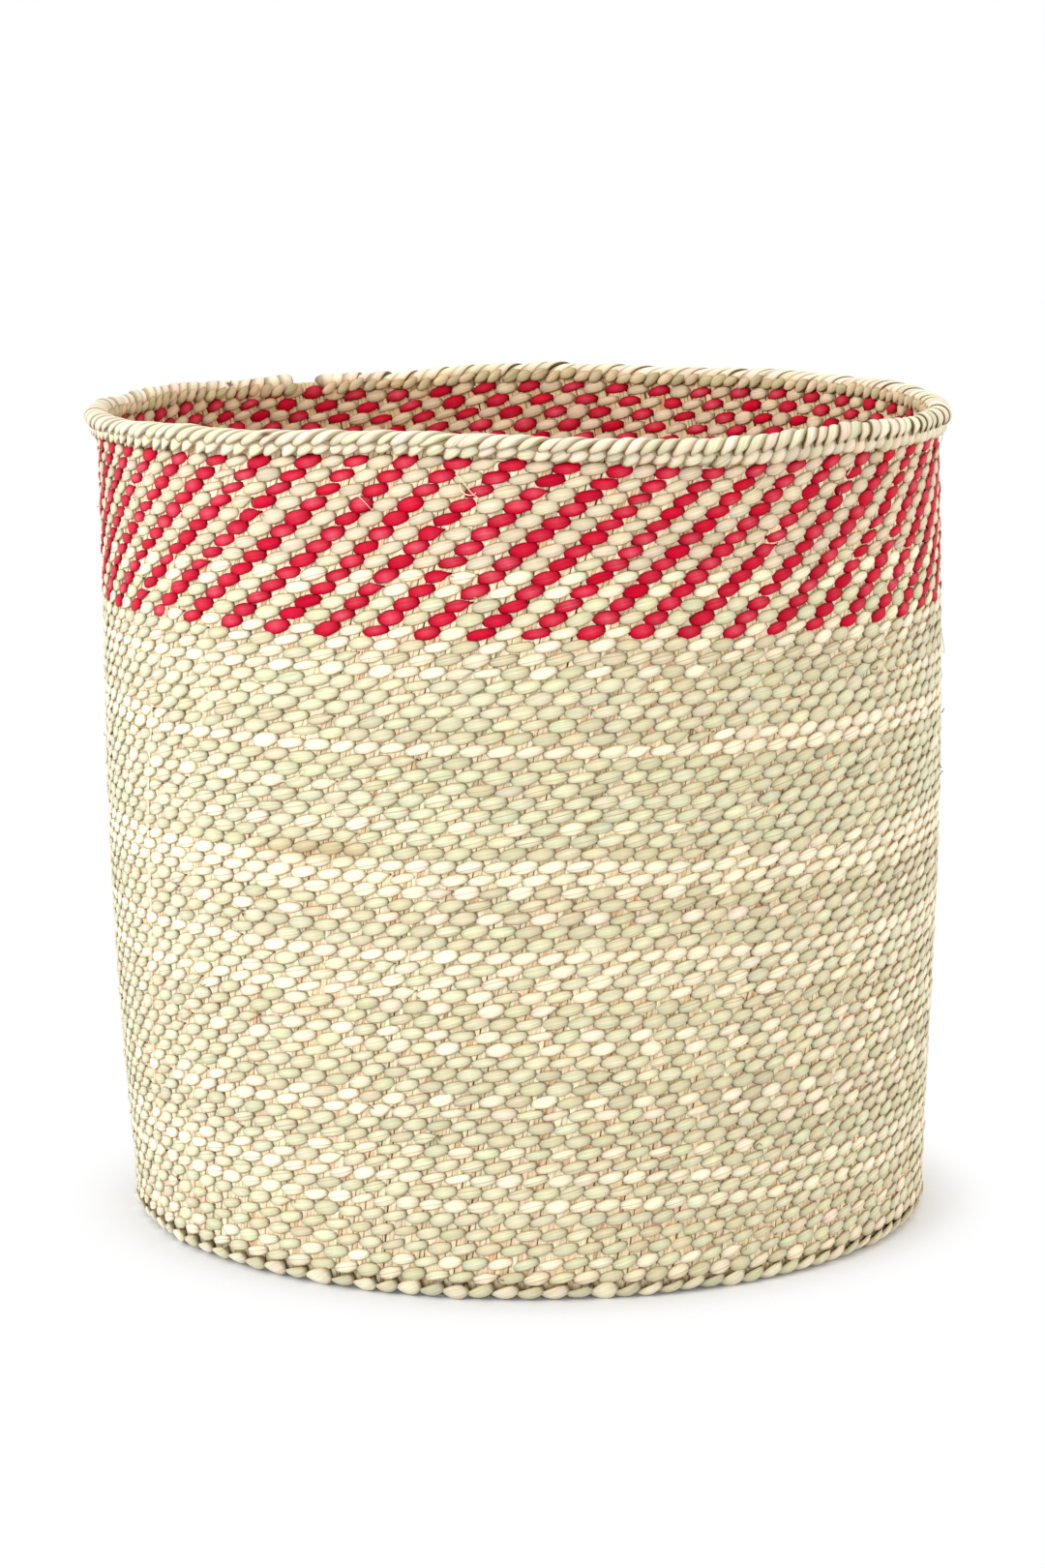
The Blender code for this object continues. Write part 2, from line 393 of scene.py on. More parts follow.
# Marks on the rope: pixel of the photo, half length and half width in metres, tint and strength
rope_marks = (
    (275, 449, 0.0021, 0.0012, (0.30, 0.12, 0.04), 0.95),
    (238, 396, 0.0022, 0.0012, (0.10, 0.04, 0.02), 0.90),
)
# Loose fibres that the photo shows, by their pixels, and how many more lie round the wall
fibre_places = (
    ((471, 489), (478, 497), (486, 507), (495, 514)),
    ((476, 500), (479, 509), (486, 512), (492, 509)),
    ((510, 455), (517, 457), (524, 461)),
    ((724, 461), (729, 464), (735, 462)),
)
more_fibres = 16
fibre_half_width = 0.00020
fibre_lift = 0.0011
fibre_end_lift = 0.2
fibre_end_width = 1.1
fibre_taper = 0.5
fibre_sides = 6
fibre_knots = 4
fibre_steps = 13
fibre_half_lengths = (0.003, 0.007)
fibre_slant = 1.2
fibre_bend = 0.0016
fibre_length = 0.01
fibre_tone_spread = 0.06
fibre_colour = (0.86, 0.78, 0.55)


def crest_radius(height):
    """The weft's outer face: it swells from the foot to its widest place and stays there."""
    share = np.clip((height - foot_height) / (widest_height - foot_height), 0, 1)
    return foot_crest + (wall_crest - foot_crest) * np.sin(share * np.pi / 2)


# The middle surface of the weave is followed by one length: out along the base, round the edge, up
arc_radius = edge_radius - mid_depth
arc_centre = foot_crest - edge_radius
arc_length = arc_radius * np.pi / 2


def profile_point(run):
    """Radius and height of the middle surface at a length along the profile."""
    run = np.asarray(run, float)
    base_height = edge_radius - arc_radius + base_rise * (1 - (run / arc_centre) ** 2)
    turn = np.clip((run - arc_centre) / arc_radius, 0, np.pi / 2)
    arc_r = arc_centre + arc_radius * np.sin(turn)
    arc_z = edge_radius - arc_radius * np.cos(turn)
    wall_z = edge_radius + run - arc_centre - arc_length
    on_base = run < arc_centre
    on_wall = run > arc_centre + arc_length
    radius = np.where(on_base, run, np.where(on_wall, crest_radius(wall_z) - mid_depth, arc_r))
    height = np.where(on_base, base_height, np.where(on_wall, wall_z, arc_z))
    return radius, height


def run_at_height(height):
    """Length along the profile where the wall has a height."""
    return arc_centre + arc_length + height - edge_radius


def profile_slope(run):
    """Unit direction of the profile, in radius and height."""
    step = 0.0002
    before = profile_point(run - step)
    after = profile_point(run + step)
    radial = after[0] - before[0]
    rising = after[1] - before[1]
    length = np.hypot(radial, rising)
    return radial / length, rising / length


def twist(height):
    """How far round the stakes have leaned at a height."""
    height = np.maximum(height, 0)
    gain = (lean_at_rim - lean_at_foot) / rim_height
    return (lean_at_foot * height + gain * height ** 2 / 2) / wall_crest


def smooth(share):
    """A soft step from 0 to 1."""
    share = np.clip(share, 0, 1)
    return share * share * (3 - 2 * share)


first_angle = join_direction - math.tau * (1 - climb_share / 2) - twist(row_bottom)


def spread(height):
    """How much wider apart the stakes stand at the front, as a share."""
    return front_spread + more_spread * np.exp(-((height - spread_height) / spread_reach) ** 2)


def waves(angle, height, shapes):
    """A sum of waves that run round the basket and up it."""
    return sum(np.sin(number * angle + height / reach + start) for number, reach, start in shapes)


def settle(points):
    """The lean of the whole basket, the waves of its rim and the small sway of its courses."""
    angle = np.arctan2(points[:, 1], points[:, 0])
    radius = np.hypot(points[:, 0], points[:, 1])
    height = points[:, 2]
    angle = angle + spread(height) * np.cos(angle) * smooth((radius - arc_centre / 2) / (arc_centre / 2))
    directions, rises = zip(*rim_waves)
    wave = np.interp(np.degrees(angle) % 360, np.array(directions) % 360, rises, period=360)
    rise = wave * smooth((height - row_bottom) / wave_reach + 1)
    free = smooth(height / wave_reach)
    below_rim = 1 - smooth((height - row_bottom) / (rim_height - row_bottom))
    turned = np.degrees(angle) + 90
    rise = rise - course_tilt * free * below_rim * np.sin(angle)
    rise = rise + free * below_rim * np.interp(turned, *zip(*course_drops), period=360)
    angle = angle + smooth(radius / arc_centre) * np.interp(turned, *zip(*stake_drift), period=360)
    rise = rise + free * course_sway * waves(angle, height, course_waves)
    radius = radius + free * wall_sway * waves(angle, height, wall_waves)
    lean = lean_at_top * height / rim_height
    return np.stack([radius * np.cos(angle) - lean, radius * np.sin(angle), height + rise], axis=-1)


def around(radius, angle, height):
    """Points from radii, angles and heights."""
    return np.stack([radius * np.cos(angle), radius * np.sin(angle), height], axis=-1)


def sideways(angle):
    """Level directions along the wall at some angles."""
    return np.stack([-np.sin(angle), np.cos(angle), np.zeros(len(angle))], axis=-1)


def upward(points):
    """The upward direction, once for each point."""
    return np.tile(np.array([0.0, 0.0, 1.0]), (len(points), 1))


def photo_pixels(points):
    """Where the photo shows points of the settled basket."""
    focal = camera_lens / sensor_size * photo_height
    offset = points - np.array(camera_place)
    depth = offset[:, 1] * math.cos(camera_tilt) - offset[:, 2] * math.sin(camera_tilt)
    rise = offset[:, 1] * math.sin(camera_tilt) + offset[:, 2] * math.cos(camera_tilt)
    return photo_width / 2 + focal * offset[:, 0] / depth, photo_height / 2 - focal * rise / depth


def spots_on(surface, outward, pixels):
    """Angle, radius and height on a surface at some pixels of the photo, from the points that face it."""
    settled = settle(surface)
    across, down = photo_pixels(settled)
    hidden = np.sum(outward * (settled - np.array(camera_place)), axis=1) > 0
    across[hidden] = np.inf
    found = [surface[np.argmin(np.hypot(across - x, down - y))] for x, y in pixels]
    return [(math.atan2(y, x), math.hypot(x, y), z) for x, y, z in found]


def wall_spots(pixels):
    """Places on the front of the wall at some pixels of the photo."""
    angles = np.linspace(-np.pi, 0, wall_search[0])
    heights = np.linspace(foot_height, row_bottom, wall_search[1])
    angle, height = np.meshgrid(angles, heights)
    angle, height = angle.ravel(), height.ravel()
    surface = around(crest_radius(height), angle, height)
    return spots_on(surface, around(np.ones(len(angle)), angle, np.zeros(len(angle))), pixels)


def rope_spots(pixels):
    """Places on the rope at some pixels of the photo."""
    angles = np.linspace(-np.pi, np.pi, rope_search[0])
    angle, fold = np.meshgrid(angles, np.linspace(0, np.pi, rope_search[1]))
    angle, fold = angle.ravel(), fold.ravel()
    radius = rope_middle_radius + (rope_half_reach + rope_crown) * np.cos(fold)
    height = rope_middle_height + (rope_half_height + rope_crown) * np.sin(fold)
    surface = around(radius, angle, height)
    return spots_on(surface, around(np.cos(fold), angle, np.sin(fold)), pixels)


wall_mark_places = wall_spots([mark[:2] for mark in marks])
rope_mark_places = rope_spots([mark[:2] for mark in rope_marks])


def add_marks(points, colours):
    """Dark marks on the strands where the photo shows them: a stain on the wall and dark spots on the rope.
    """
    angle = np.arctan2(points[:, 1], points[:, 0])
    radius = np.hypot(points[:, 0], points[:, 1])
    outside = radius > crest_radius(points[:, 2]) - 2 * mid_depth
    weights = []
    for mark, (middle, reach, level) in zip(marks, wall_mark_places):
        *_, half_width, half_height, tint, strength = mark
        aside = (angle - middle) * reach / (half_width * photo_pixel)
        above = (points[:, 2] - level) / (half_height * photo_pixel)
        weights.append((strength * outside * smooth(mark_reach - np.hypot(aside, above)), tint))
    for mark, (middle, reach, level) in zip(rope_marks, rope_mark_places):
        *_, half_length, half_width, tint, strength = mark
        aside = (angle - middle) * reach / half_length
        above = np.hypot(radius - reach, points[:, 2] - level) / half_width
        weights.append((strength * smooth(mark_reach - np.hypot(aside, above)), tint))
    for weight, tint in weights:
        colours = tinted(colours, weight[:, None], tint)
    return colours


class Strands:
    """Closed tubes gathered into one mesh, with a colour and a fibre direction at each point."""

    def __init__(self, seed, sides=section_sides):
        self.random = np.random.default_rng(seed)
        self.sides = sides
        self.points = []
        self.colours = []
        self.fibres = []
        self.faces = []
        self.caps = []
        self.count = 0

    def add_tube(self, rings, colours, along, across):
        """Rings of points, one colour a point, and the place of each point along and across."""
        number, sides, _ = rings.shape
        grid = self.count + np.arange(number * sides).reshape(number, sides)
        turned = np.roll(grid, -1, axis=1)
        quads = np.stack([grid[:-1], turned[:-1], turned[1:], grid[1:]], axis=-1)
        self.faces.append(quads.reshape(-1, 4))
        self.caps.append(grid[0][::-1])
        self.caps.append(grid[-1])
        self.points.append(rings.reshape(-1, 3))
        self.colours.append(np.clip(colours, 0, 1).reshape(-1, 3))
        fibre = np.empty((number, sides, 3))
        fibre[..., 0] = np.asarray(along).reshape(number, 1)
        fibre[..., 1] = across
        fibre[..., 2] = self.random.uniform(0, 1)
        self.fibres.append(fibre.reshape(-1, 3))
        self.count += number * sides

    def build(self, name, material):
        """One object from all tubes."""
        points = np.concatenate(self.points)
        colours = add_marks(points, np.concatenate(self.colours))
        points = settle(points)
        quads = np.concatenate(self.faces)
        mesh = bpy.data.meshes.new(name)
        mesh.vertices.add(len(points))
        mesh.vertices.foreach_set("co", points.astype(np.float32).ravel())
        loops = np.concatenate([quads.ravel(), *self.caps])
        mesh.loops.add(len(loops))
        mesh.loops.foreach_set("vertex_index", loops.astype(np.int32))
        sizes = np.repeat([4, self.sides], [len(quads), len(self.caps)])
        starts = np.concatenate([[0], np.cumsum(sizes)[:-1]])
        mesh.polygons.add(len(sizes))
        mesh.polygons.foreach_set("loop_start", starts.astype(np.int32))
        mesh.polygons.foreach_set("use_smooth", np.ones(len(sizes), bool))
        colours = np.concatenate([colours, np.ones((len(colours), 1))], axis=1)
        layer = mesh.color_attributes.new("strand_colour", "FLOAT_COLOR", "POINT")
        layer.data.foreach_set("color", colours.astype(np.float32).ravel())
        layer = mesh.attributes.new("fibre", "FLOAT_VECTOR", "POINT")
        layer.data.foreach_set("vector", np.concatenate(self.fibres).astype(np.float32).ravel())
        mesh.update(calc_edges=True)
        mesh.validate()
        piece = bpy.data.objects.new(name, mesh)
        bpy.context.scene.collection.objects.link(piece)
        piece.data.materials.append(material)
        return piece


def section(sides, edge_power, face_power):
    """A flat strand's rounded section: shares of its half width and half thickness."""
    angle = np.arange(sides) * math.tau / sides
    wide = np.sign(np.cos(angle)) * np.abs(np.cos(angle)) ** edge_power
    thick = np.sign(np.sin(angle)) * np.abs(np.sin(angle)) ** face_power
    return wide, thick


def sweep(centres, ups, half_widths, half_thicknesses, sides, powers=section_powers):
    """Rings round a line of centres, each as wide as its half width along the up direction."""
    tangents = np.gradient(centres, axis=0)
    tangents /= np.linalg.norm(tangents, axis=1, keepdims=True)
    ups = ups - tangents * np.sum(ups * tangents, axis=1, keepdims=True)
    ups /= np.linalg.norm(ups, axis=1, keepdims=True)
    outs = np.cross(tangents, ups)
    half_thicknesses = np.broadcast_to(half_thicknesses, len(centres))
    wide, thick = section(sides, *powers)
    rings = centres[:, None, :] + (
        ups[:, None, :] * (half_widths[:, None] * wide)[..., None]
        + outs[:, None, :] * (half_thicknesses[:, None] * thick)[..., None]
    )
    return rings, wide, thick


def course_height(level):
    """Height of the middle of a course, counted from the lowest one above the edge."""
    natural = np.interp(level, *zip(*course_heights))
    striped = striped_first + striped_pitch * (level - natural_count)
    return np.where(level < natural_count, natural, striped)


def wall_path(phase):
    """Length along the profile and angle of the wall's weft at a phase counted in stakes."""
    turns = phase / stake_count
    whole = np.floor(turns)
    level = whole + smooth((turns - whole - 1 + climb_share) / climb_share)
    height = course_height(np.minimum(level, course_count - 1 + last_climb))
    return run_at_height(height), first_angle + math.tau * turns + twist(height)


def base_turn_counts():
    """Stakes met by each turn of the base's spiral: more are added as it widens."""
    counts = []
    reach = base_first_radius
    while reach < arc_centre + base_overlap:
        counts.append(next(count for limit, count in base_zones if reach < limit))
        reach += base_pitch
    return counts


def base_path(phase):
    """Length along the profile and angle of the base's weft at a phase counted in stakes."""
    counts = base_turn_counts()
    starts = np.concatenate([[0], np.cumsum(counts)])
    turns = np.interp(phase, starts, np.arange(len(starts)))
    return base_first_radius + base_pitch * turns, math.tau * turns


def ridge_path(phase):
    """The heavier course round the bottom edge, on which the basket stands."""
    run = np.full(len(phase), arc_centre + arc_radius * ridge_turn)
    return run, math.tau * phase / ridge_stakes


def shades(draw, base, number, spread):
    """One colour a stitch round a base colour."""
    light = 1 + draw.normal(0, spread, (number, 1))
    tint = 1 + draw.normal(0, spread / tint_part, (number, 3))
    return np.asarray(base)[None, :] * light * tint


# How the ends, edges and crown of a stitch differ in tone, and stitches and strands from each other:
# painted shade at the ends and edges, darkest brown at the very ends, painted highlight with some wear on
# the crown
enter_fade = 4.5
leave_fade = 2.2
gap_shade_fade = 3.4
gap_shade_tint = (0.17, 0.09, 0.03)
crimson_sheen = 0.95
crimson_pale = (0.78, 0.12, 0.17)
end_shadow = 0.88
edge_shadow = 0.72
crown_low = 0.88
crown_high = 1.15
sheen_aside = 0.3
sheen_power = 1.5
stitch_tone_spread = 0.045
strand_tint_spread = 0.012
tint_part = 3


def tinted(colours, weight, tint):
    """Colours multiplied by a tint, as far as the weight says."""
    return colours * (1 - weight + weight * np.asarray(tint))


def near_edge(wide, power):
    """How near each side of a section is to the strand's edges: the higher the power, the narrower."""
    return (np.abs(wide) ** power)[None, :, None]


def strand_kind(draw, course, strand):
    """The palette of a new strand of weft."""
    if course >= natural_count:
        return "crimson" if strand == 1 else striped_naturals[course - natural_count]
    if course in pale_courses:
        return "cream"
    shares = plain_shares if course >= plain_first else palette_shares
    return draw.choice(list(shares), p=list(shares.values()))


def new_strand(draw, strand, period, last_period, course):
    """How many periods a new strand goes on and its palette: pale and striped courses have their own."""
    periods = int(draw.integers(shortest_run, longest_run))
    border = math.ceil((course + 1) * stake_count / stake_period)
    if any(level in pale_courses or level >= natural_count for level in (course, course + 1)):
        periods = min(periods, border - period)
    return min(periods, last_period - period), strand_kind(draw, course, strand)


def stitch_places(periods):
    """Phase of each ring of a strand, its place in its stitch, its side of the wall and its stitch."""
    half_period = stake_period / 2
    inside = np.array(inside_places)
    outside = np.array(outside_places)
    inside_phase = half_period - stitch_overlap + inside * (half_period + 2 * stitch_overlap)
    outside_phase = stake_period - stitch_overlap + outside * (half_period + 2 * stitch_overlap)
    cycle = np.concatenate([inside_phase, outside_phase])
    offsets = (np.arange(periods)[:, None] * stake_period + cycle[None, :]).ravel()
    offsets = np.append(offsets, periods * stake_period + half_period + stitch_overlap)
    place = np.append(np.tile(np.concatenate([inside, outside]), periods), 1.0)
    rings = [len(inside), len(outside)]
    side = np.append(np.tile(np.repeat([-1.0, 1.0], rings), periods), 1.0)
    stitch = np.append(np.repeat(np.arange(2 * periods), rings * periods), 2 * periods - 1)
    return offsets, place, side, stitch


def stitch_colours(draw, kind, place, side, stitch, wide):
    """Colours of a strand: painted shade where it goes in and at its edges, painted highlight and wear on
    its crowns.
    """
    number = 1 + stitch[-1]
    bow = np.sin(np.pi * place)
    base = shades(draw, palettes[kind], number, stitch_tone_spread)[stitch]
    base = base * draw.normal(1, strand_tint_spread, (1, 3))
    base = np.where((side < 0)[:, None], base * np.asarray(khaki), base)
    # Painted shade where the strand goes in and along its edges
    fade = np.where(side * (place - 0.5) < 0, enter_fade, leave_fade)
    depth = np.clip(1 - bow * fade, 0, 1)[:, None, None]
    shadow = np.clip(end_shadow * depth + edge_shadow * near_edge(wide, 4), 0, 1)
    # Painted highlight with some wear on the crown, painted shade towards the ends
    lit_and_worn = (crown_low + (crown_high - crown_low) * bow ** 2)[:, None, None]
    colours = tinted(base[:, None, :] * lit_and_worn, shadow, crevice)
    # Painted shade: a dark brown line at the very ends, in the gap where the strand goes in
    gap_shade = np.clip(1 - bow * gap_shade_fade, 0, 1)[:, None, None]
    colours = tinted(colours, gap_shade, gap_shade_tint)
    # Painted highlight with some wear: some red stitches paler along their crowns
    if kind == "crimson":
        sheen = (draw.uniform(0, crimson_sheen, number)[stitch] * bow ** 3)[:, None, None]
        aside = np.abs(wide - draw.uniform(-sheen_aside, sheen_aside)) ** sheen_power
        sheen = sheen * (1 - aside).clip(0, 1)[None, :, None]
        colours = colours * (1 - sheen) + sheen * np.asarray(crimson_pale)
    return colours


def weft_tube(strands, strand, first_period, periods, kind, path, girth=1.0, tailed=True):
    """One strand over and under its stakes, from the place where it goes in to where it ends."""
    draw = strands.random
    number = 2 * periods
    offsets, place, side, stitch = stitch_places(periods)
    phase = stake_period * first_period - stake_period / 2 * strand + offsets
    reach = draw.normal(1, reach_spread, number)[stitch]
    width = draw.normal(1, width_spread, number)[stitch] * draw.normal(1, strand_width_spread)
    rise = draw.normal(1, rise_spread, number)[stitch]
    shift = draw.normal(0, height_spread, number)[stitch]
    roll = draw.normal(0, roll_spread, number)[stitch]
    bow = np.sin(np.pi * place)
    tail = np.where(tailed & (stitch == number - 1), smooth(2 * place - 1), 0)
    power = np.where(side * (place - 0.5) < 0, enter_power, leave_power)
    out = side * swing * girth * reach * np.maximum(bow ** power, tail_reach * tail)
    run, angle = path(phase)
    run = run + side * stitch_rise * girth * rise * (2 * place - 1) + shift * bow
    near_border = smooth((run - run_at_height(row_bottom - lift_reach)) / lift_reach)
    run = run + np.where(side < 0, inside_lift * near_border * bow ** lift_power, 0)
    end = half_width_end * (striped_end_gain if kind in striped_kinds else 1)
    half_width = end + (half_width_mid * width - end) * bow ** width_power
    half_width = half_width - side * end_lean * (2 * place - 1)
    half_width = half_width * girth * draw.normal(1, ring_spread, len(phase))
    half_width = half_width * (1 - tail_thinning * tail)
    half_thickness = strand_half_thickness * girth * (thin_end + (1 - thin_end) * bow)
    radius, height = profile_point(run)
    slope_r, slope_z = profile_slope(run)
    centres = around(radius + slope_z * out, angle, height - slope_r * out)
    normals = around(slope_z, angle, -slope_r)
    ups = around(slope_r, angle, slope_z) + normals * (roll * bow)[:, None]
    ups = ups - sideways(angle) * (side * end_slant)[:, None]
    rings, wide, _ = sweep(centres, ups, half_width, half_thickness, strands.sides)
    colours = stitch_colours(draw, kind, place, side, stitch, wide)
    along = np.cumsum(np.linalg.norm(np.diff(centres, axis=0, prepend=centres[:1]), axis=1))
    strands.add_tube(rings, colours, along, half_width[:, None] * wide[None, :])
    if tailed and draw.uniform() < curl_share:
        curl_tube(strands, angle[-1] + draw.normal(*curl_ahead), run[-1] + draw.normal(*curl_above))


def curl_tube(strands, angle, run):
    """The dry end of a strand that pokes out at a splice and curls up."""
    draw = strands.random
    share = np.linspace(0, 1, curl_steps)
    turn = draw.uniform(0, math.tau) + draw.uniform(*curl_turns) * draw.choice((-1, 1)) * share
    size = draw.uniform(*curl_sizes) * (1 - curl_closing * share)
    radius, height = profile_point(run + size * np.sin(turn))
    out = curl_lift + draw.uniform(*curl_reaches) * np.sin(share * np.pi / 2)
    centres = around(radius + out, angle + size * np.cos(turn) / wall_crest, height)
    ups = np.tile(around(np.ones(1), np.array([angle]), np.zeros(1)), (len(share), 1))
    width = draw.uniform(*curl_half_widths) * (1 - curl_taper * share)
    rings, wide, _ = sweep(centres, ups, width, curl_half_thickness, strands.sides)
    base = np.asarray(crevice) * curl_pale_shade
    if draw.uniform() < curl_brown_share:
        base = shades(draw, curl_brown, 1, curl_tone_spread)[0]
    colours = np.tile(base, (len(share), strands.sides, 1))
    strands.add_tube(rings, colours, share * curl_length, width[:, None] * wide[None, :])


def weft_piece(name, seed, first_period, last_period, path, material):
    """The strands of a stretch of the wall's or the base's spiral, cut at the splices."""
    strands = Strands(seed)
    for strand in range(2):
        period = first_period
        while period < last_period:
            course = math.floor(period * stake_period / stake_count) if path is wall_path else 0
            periods, kind = new_strand(strands.random, strand, period, last_period, course)
            weft_tube(strands, strand, period, periods, kind, path)
            period += periods
    return strands.build(name, material)


def wall_weft(name, seed, first_course, courses, material):
    """The weft of some courses of the wall."""
    bounds = (first_course, first_course + courses)
    periods = [math.ceil(course * stake_count / stake_period) for course in bounds]
    return weft_piece(name, seed, *periods, wall_path, material)


def base_weft(name, seed, first_share, last_share, material):
    """The weft of a share of the base's spiral."""
    periods = sum(base_turn_counts()) // stake_period
    bounds = [round(share * periods) for share in (first_share, last_share)]
    return weft_piece(name, seed, *bounds, base_path, material)


def random_fibre(draw):
    """Angles and heights of a loose fibre somewhere on the wall."""
    share = np.linspace(-1, 1, fibre_knots)
    middle, height = draw.uniform(0, math.tau), draw.uniform(foot_height, row_bottom)
    half, slant = draw.uniform(*fibre_half_lengths), draw.uniform(-fibre_slant, fibre_slant)
    bend = draw.normal(0, fibre_bend)
    ahead = half * share * math.cos(slant)
    return middle + ahead / wall_crest, height + half * share * math.sin(slant) + bend * share ** 2


def fibre_piece(name, seed, material):
    """Thin loose fibres that lie on the wall."""
    strands = Strands(seed, fibre_sides)
    draw = strands.random
    paths = []
    for pixels in fibre_places:
        spots = np.array(wall_spots(pixels))
        paths.append((spots[:, 0], spots[:, 2]))
    paths += [random_fibre(draw) for _ in range(more_fibres)]
    for angles, heights in paths:
        place = np.linspace(0, 1, fibre_steps)
        knots = np.linspace(0, 1, len(angles))
        degree = len(angles) - 1
        angle = np.polyval(np.polyfit(knots, angles, degree), place)
        height = np.polyval(np.polyfit(knots, heights, degree), place)
        radius = crest_radius(height) + fibre_lift * (fibre_end_lift + np.sin(np.pi * place))
        centres = around(radius, angle, height)
        widths = fibre_half_width * (fibre_end_width - fibre_taper * place)
        rings, wide, _ = sweep(centres, upward(centres), widths, widths, strands.sides)
        tone = shades(draw, fibre_colour, 1, fibre_tone_spread)
        colours = np.repeat(tone, len(place) * strands.sides, axis=0)
        strands.add_tube(rings, colours, place * fibre_length, widths[:, None] * wide[None, :])
    return strands.build(name, material)


def ridge_piece(name, seed, material):
    """The ridge: one cream and one green strand, twined heavier than the wall."""
    strands = Strands(seed)
    periods = ridge_stakes // stake_period
    for strand, kind in ((0, "cream"), (1, "sage")):
        weft_tube(strands, strand, 0, periods, kind, ridge_path, ridge_girth, tailed=False)
    return strands.build(name, material)


def stem_tones(draw, warm, height):
    """Colours up a stem: between cream and pink, with brown spots."""
    base = np.asarray(stem_cream) + (np.asarray(stem_pink) - stem_cream) * draw.uniform(0, 1)
    brown = np.zeros(stem_steps)
    for _ in range(stem_spots):
        centre = draw.uniform(0, rim_height)
        length = draw.uniform(*stem_spot_length)
        depth = warm * draw.uniform(0, 1) ** stem_spot_power
        brown = np.maximum(brown, depth * np.exp(-((height - centre) / length) ** 2))
    base = base[None, :] * (1 - brown[:, None]) + np.asarray(stem_brown) * brown[:, None]
    return base * shades(draw, (1, 1, 1), stem_steps, stem_tone_spread)


def stem_tube(strands, middle, aside, stem_width, warm):
    """One stem of a stake, from the bottom edge up into the border."""
    draw = strands.random
    heights = np.linspace(stem_bottom, rim_height - stem_top_gap, stem_steps)
    side = aside * stem_width + draw.normal(0, stem_aside_spread)
    radius, height = profile_point(run_at_height(heights))
    sway = np.cumsum(draw.normal(0, stem_sway_spread, stem_steps))
    angle = middle + twist(height) + (side + sway - sway.mean()) / radius
    centres = around(radius + draw.normal(0, stem_depth_spread), angle, height)
    widths = stem_width / 2 * stem_overlap * draw.normal(1, stem_width_spread, stem_steps)
    ups = sideways(angle)
    rings, wide, thick = sweep(centres, ups, widths, stem_half_thickness, strands.sides, stem_powers)
    tone = stem_tones(draw, warm, height)
    colours = tinted(tone[:, None, :], stem_edge_shadow * near_edge(wide, 12), crevice)
    colours = np.where((thick > 0)[None, :, None], colours * np.asarray(inside_stem), colours)
    strands.add_tube(rings, colours, height, stem_width / 2 * wide[None, :])


def stem_piece(name, seed, first_stake, last_stake, material):
    """Stakes of the wall, each a bundle of stems side by side, leaning as they rise."""
    strands = Strands(seed, stem_sides)
    draw = strands.random
    for stake in range(first_stake, last_stake):
        middle = (stake + 0.5) * math.tau / stake_count + first_angle
        warm = draw.uniform(least_spotted, 1)
        stems = draw.choice(stem_counts, p=stem_count_shares)
        for stem in range(stems):
            stem_tube(strands, middle, stem - (stems - 1) / 2, stake_width / stems, warm)
    return strands.build(name, material)


def base_zone(strands, start, end, count):
    """The stakes of one zone of the base, side by side round it."""
    draw = strands.random
    steps = base_stem_rings + int((end - start) / base_stem_pitch)
    runs = np.linspace(start, end + base_stem_tuck, steps)
    radius, height = profile_point(runs)
    for stake in range(count):
        width = min(math.tau * start / count, base_stem_widest) * base_stem_share_start
        end_width = min(math.tau * end / count, base_stem_widest) * base_stem_share_end
        middle = (stake + 0.5) * math.tau / count + draw.normal(0, base_stem_angle_spread)
        angle = np.full(len(runs), middle)
        centres = around(radius, angle, height + draw.normal(0, base_stem_height_spread))
        widths = np.linspace(width, end_width, len(runs))
        rings, wide, _ = sweep(centres, sideways(angle), widths, base_stem_half_thickness, strands.sides)
        tone = shades(draw, (stem_cream, stem_pink)[stake % 2], len(runs), base_stem_tone_spread)
        colours = np.repeat(tone[:, None, :], strands.sides, axis=1)
        strands.add_tube(rings, colours, runs, width * wide[None, :])


def base_cross(strands):
    """The two crossed layers of stems in the middle of the base, where the basket was begun."""
    along = np.linspace(-cross_half_length, cross_half_length, cross_steps)
    half_widths = np.full(cross_steps, cross_half_width)
    for layer, (ahead, aside) in enumerate((((1, 0), (0, 1)), ((0, 1), (-1, 0)))):
        for stem in range(-cross_stems, cross_stems + 1):
            x, y = (along * ahead[axis] + stem * cross_pitch * aside[axis] for axis in (0, 1))
            height = profile_point(0)[1] + (layer - 0.5) * cross_layer
            centres = np.stack([x, y, np.full(cross_steps, height)], axis=-1)
            ups = np.tile(np.array([*aside, 0.0]), (cross_steps, 1))
            rings, wide, _ = sweep(centres, ups, half_widths, cross_half_thickness, strands.sides)
            tone = shades(strands.random, stem_cream, cross_steps, base_stem_tone_spread)
            colours = np.repeat(tone[:, None, :], strands.sides, axis=1)
            strands.add_tube(rings, colours, along, cross_half_width * wide[None, :])


def base_stem_piece(name, seed, material):
    """Stakes of the base: more of them in each zone outwards, round a cross of stems in the middle."""
    strands = Strands(seed, base_stem_sides)
    start = base_first_radius - base_stem_inset
    for limit, count in base_zones:
        end = min(limit, arc_centre + arc_length * base_stem_reach)
        base_zone(strands, start, end, count)
        start = end
    base_cross(strands)
    return strands.build(name, material)


def border_tone(draw):
    """The colour of one border strand."""
    kind = draw.choice(len(border_colours), p=border_shares)
    return shades(draw, border_colours[kind], 1, border_tone_spread)[0]


def border_places(draw):
    """The direction of each border strand and how near it is to the join, from 0 at it to 1."""
    pitch = (math.tau - join_width / rim_reach) / (rope_strands + 2 * join_inset)
    index = np.arange(rope_strands)
    middle = join_direction + join_width / rim_reach / 2 + (index + 0.5 + join_inset) * pitch
    near = np.minimum(index, rope_strands - 1 - index) / join_calm
    return pitch, middle + draw.normal(0, border_spread, rope_strands) * pitch, np.clip(near, 0, 1)


